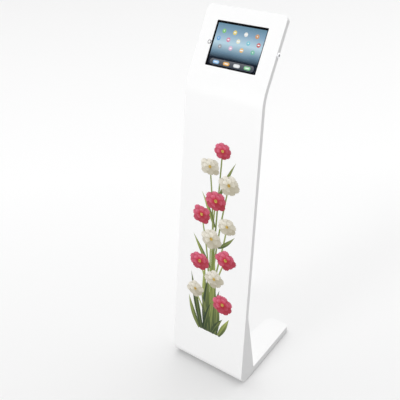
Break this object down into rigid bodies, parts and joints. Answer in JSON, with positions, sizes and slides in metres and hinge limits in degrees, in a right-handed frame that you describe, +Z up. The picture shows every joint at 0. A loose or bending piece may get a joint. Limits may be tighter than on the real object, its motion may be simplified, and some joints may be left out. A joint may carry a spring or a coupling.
{
  "type": "tablet kiosk stand",
  "caption": "Free-standing kiosk that holds a tablet behind a white folded-sheet head, on a leaning column with a fork foot, a side lock, a push-through home button and a hinged rear door.",
  "frame": {"origin": "middle of the footprint, on the floor", "axes": "+Z up, the screen faces -Y, +X is the lock's side"},
  "size_m": [0.345, 0.38, 1.4197],
  "materials": {
    "white_powder_coat": "satin powder coat",
    "white_panel_coat": "satin powder coat",
    "dark_base_steel": "matt black paint",
    "galvanised_steel": "galvanised sheet",
    "zinc_fasteners": "zinc plated",
    "hinge_steel": "satin stainless",
    "chrome_trim": "polished chrome",
    "pad_rubber": "matt rubber",
    "black_foam": "closed-cell foam",
    "bracket_plastic": "moulded, fine texture",
    "tablet_metal": "bead-blasted",
    "display_panel": "lit display",
    "tablet_glass": "clear over the display, black border",
    "white_cap": "polished",
    "black_key": "polished"
  },
  "bodies": {
    "stand": {"front_shell": "white_powder_coat", "rear_panel": "white_panel_coat", "rear_panel_screws": "zinc_fasteners", "foot_cover": "white_powder_coat", "base_plate": "dark_base_steel", "cover_screws": "zinc_fasteners", "shell_screws": "zinc_fasteners", "foot_pads": "pad_rubber", "spine_channel": "galvanised_steel", "base_gussets": "galvanised_steel", "gusset_bolts": "zinc_fasteners", "spine_bolts": "zinc_fasteners", "cable_grommet": "pad_rubber", "corner_brackets": "bracket_plastic", "bracket_nuts": "zinc_fasteners", "front_gasket": "black_foam", "tablet_shell": "tablet_metal", "tablet_display": "display_panel", "tablet_glass": "tablet_glass", "home_ring": "chrome_trim", "lock_body": "chrome_trim", "lock_clip": "hinge_steel", "hinge_frame_leaf": "hinge_steel", "hinge_pin": "hinge_steel", "frame_rivets": "zinc_fasteners"},
    "rear_door": {"rear_door": "white_panel_coat", "door_hinge_leaf": "hinge_steel", "door_rivets": "zinc_fasteners", "door_foam_pad": "black_foam", "door_keeper": "hinge_steel"},
    "lock": {"lock_plug": "chrome_trim", "lock_cam": "hinge_steel", "cam_screw": "zinc_fasteners"},
    "home_button": {"home_cap": "white_cap", "tablet_home_key": "black_key"}
  },
  "joints": [
    {"name": "door_hinge", "type": "hinge", "parent": "stand", "child": "rear_door", "pos_m": [-0.1412, 0.10075, 1.3002], "axis": [0, 0.5592, 0.829], "range_deg": [0, 110]},
    {"name": "lock_turn", "type": "hinge", "parent": "stand", "child": "lock", "pos_m": [0.158, 0.09088, 1.30685], "axis": [1, 0, 0], "range_deg": [0, 90]},
    {"name": "home_press", "type": "slide", "parent": "stand", "child": "home_button", "axis": [0, 0.829, -0.5592], "range_m": [0, 0.0006], "stiffness_N_per_m": 1500, "springref_m": -0.0003}
  ]
}
